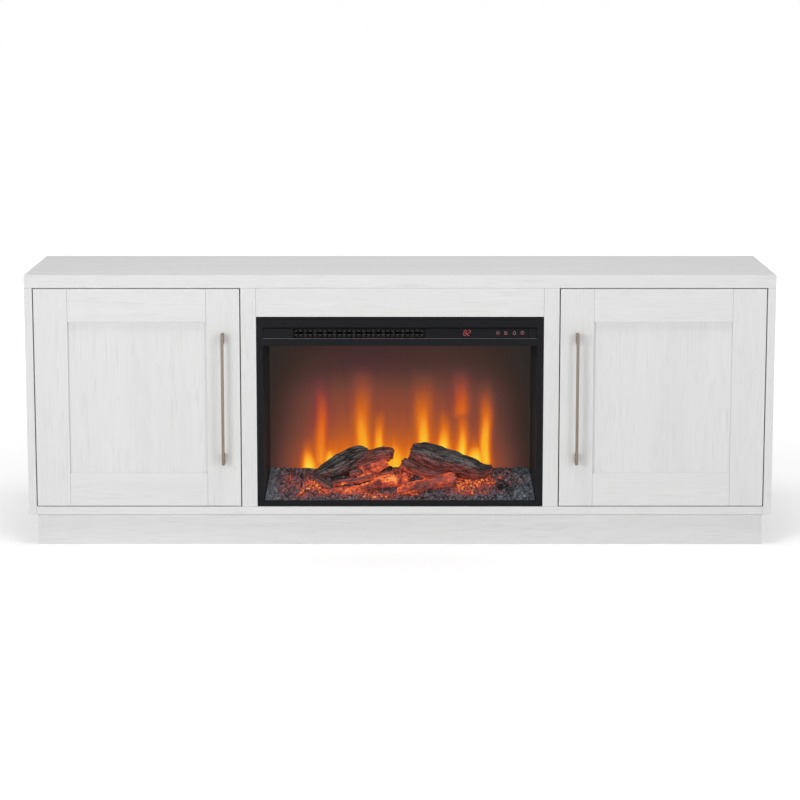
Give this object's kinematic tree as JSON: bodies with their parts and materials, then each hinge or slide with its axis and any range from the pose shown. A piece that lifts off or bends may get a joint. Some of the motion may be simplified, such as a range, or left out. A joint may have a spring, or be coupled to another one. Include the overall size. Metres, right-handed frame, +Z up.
{
  "type": "fireplace tv stand",
  "caption": "Low white wood-grain television stand on a recessed plinth, with framed doors at both ends, bar pulls, and an electric log fireplace in the middle bay.",
  "frame": {"origin": "centre of the footprint, handles included, on the floor", "axes": "+X along the width, to the right of someone facing the stand; -Y towards that person; +Z up"},
  "size_m": [1.727, 0.435, 0.635],
  "materials": {
    "white_woodgrain": "painted wood-grain laminate, satin",
    "hardboard": "painted hardboard",
    "handle_metal": "champagne nickel plate, satin",
    "hinge_steel": "nickel-plated pressed steel",
    "frame_black": "black powder coat, satin",
    "case_steel": "dark powder coat",
    "window_glass": "clear tempered glass",
    "control_gloss": "gloss black",
    "ember_resin": "moulded translucent resin, ash and ember coloured",
    "log_resin": "cast resin, charred bark",
    "flame_film": "translucent film with flame light",
    "rotor_aluminium": "bright",
    "motor_steel": "plated",
    "fan_plastic": "moulded",
    "duct_steel": "galvanised sheet",
    "element_ceramic": "ceramic bars with metal fins",
    "circuit_board": "solder resist",
    "gland_rubber": "moulded"
  },
  "bodies": {
    "carcass": {"top_panel": "white_woodgrain", "bottom_panel": "white_woodgrain", "left_side_panel": "white_woodgrain", "right_side_panel": "white_woodgrain", "left_divider": "white_woodgrain", "right_divider": "white_woodgrain", "surround_header": "white_woodgrain", "surround_left_jamb": "white_woodgrain", "surround_right_jamb": "white_woodgrain", "left_shelf": "white_woodgrain", "right_shelf": "white_woodgrain", "plinth_front": "white_woodgrain", "plinth_back": "white_woodgrain", "plinth_left_end": "white_woodgrain", "plinth_right_end": "white_woodgrain", "plinth_centre_brace": "white_woodgrain", "left_back_panel": "hardboard", "centre_back_panel": "hardboard", "right_back_panel": "hardboard", "left_lower_hinge_arm": "hinge_steel", "left_upper_hinge_arm": "hinge_steel", "right_lower_hinge_arm": "hinge_steel", "right_upper_hinge_arm": "hinge_steel", "fireplace_front_frame": "frame_black", "fireplace_glass": "window_glass", "heater_grille": "frame_black", "control_panel": "control_gloss", "fireplace_case": "case_steel", "cord_gland": "gland_rubber", "control_board": "circuit_board", "ember_bed": "ember_resin", "log_left": "log_resin", "log_right": "log_resin", "flame_screen": "flame_film", "rotor_motor": "motor_steel", "light_strip": "circuit_board", "heater_duct": "duct_steel", "heating_element": "element_ceramic"},
    "left_door": {"left_door_inner_stile": "white_woodgrain", "left_door_outer_stile": "white_woodgrain", "left_door_top_rail": "white_woodgrain", "left_door_bottom_rail": "white_woodgrain", "left_door_panel": "white_woodgrain", "left_handle": "handle_metal", "left_lower_hinge_cup": "hinge_steel", "left_upper_hinge_cup": "hinge_steel"},
    "right_door": {"right_door_inner_stile": "white_woodgrain", "right_door_outer_stile": "white_woodgrain", "right_door_top_rail": "white_woodgrain", "right_door_bottom_rail": "white_woodgrain", "right_door_panel": "white_woodgrain", "right_handle": "handle_metal", "right_lower_hinge_cup": "hinge_steel", "right_upper_hinge_cup": "hinge_steel"},
    "left_hinge_links": {"left_lower_hinge_link": "hinge_steel", "left_upper_hinge_link": "hinge_steel"},
    "right_hinge_links": {"right_lower_hinge_link": "hinge_steel", "right_upper_hinge_link": "hinge_steel"},
    "rotor": {"flame_rotor": "rotor_aluminium"},
    "fan": {"fan_wheel": "fan_plastic"}
  },
  "joints": [
    {"name": "left_door_hinge", "type": "hinge", "parent": "carcass", "child": "left_door", "pos_m": [-0.843, -0.1825, 0.349], "axis": [0, 0, -1], "range_deg": [0, 100]},
    {"name": "right_door_hinge", "type": "hinge", "parent": "carcass", "child": "right_door", "pos_m": [0.843, -0.1825, 0.349], "axis": [0, 0, 1], "range_deg": [0, 100]},
    {"name": "left_link_pivot", "type": "hinge", "parent": "left_door", "child": "left_hinge_links", "pos_m": [-0.829, -0.168, 0.349], "axis": [0, 0, -1], "range_deg": [-100, 0]},
    {"name": "right_link_pivot", "type": "hinge", "parent": "right_door", "child": "right_hinge_links", "pos_m": [0.829, -0.168, 0.349], "axis": [0, 0, 1], "range_deg": [-100, 0]},
    {"name": "rotor_spin", "type": "hinge", "parent": "carcass", "child": "rotor", "pos_m": [0, -0.0072, 0.1408], "axis": [1, 0, 0], "continuous": true},
    {"name": "fan_spin", "type": "hinge", "parent": "carcass", "child": "fan", "pos_m": [-0.094, -0.0975, 0.5072], "axis": [1, 0, 0], "continuous": true}
  ],
  "couplings": [
    {"joint": "left_link_pivot", "follows": "left_door_hinge", "ratio": -1},
    {"joint": "right_link_pivot", "follows": "right_door_hinge", "ratio": -1}
  ]
}
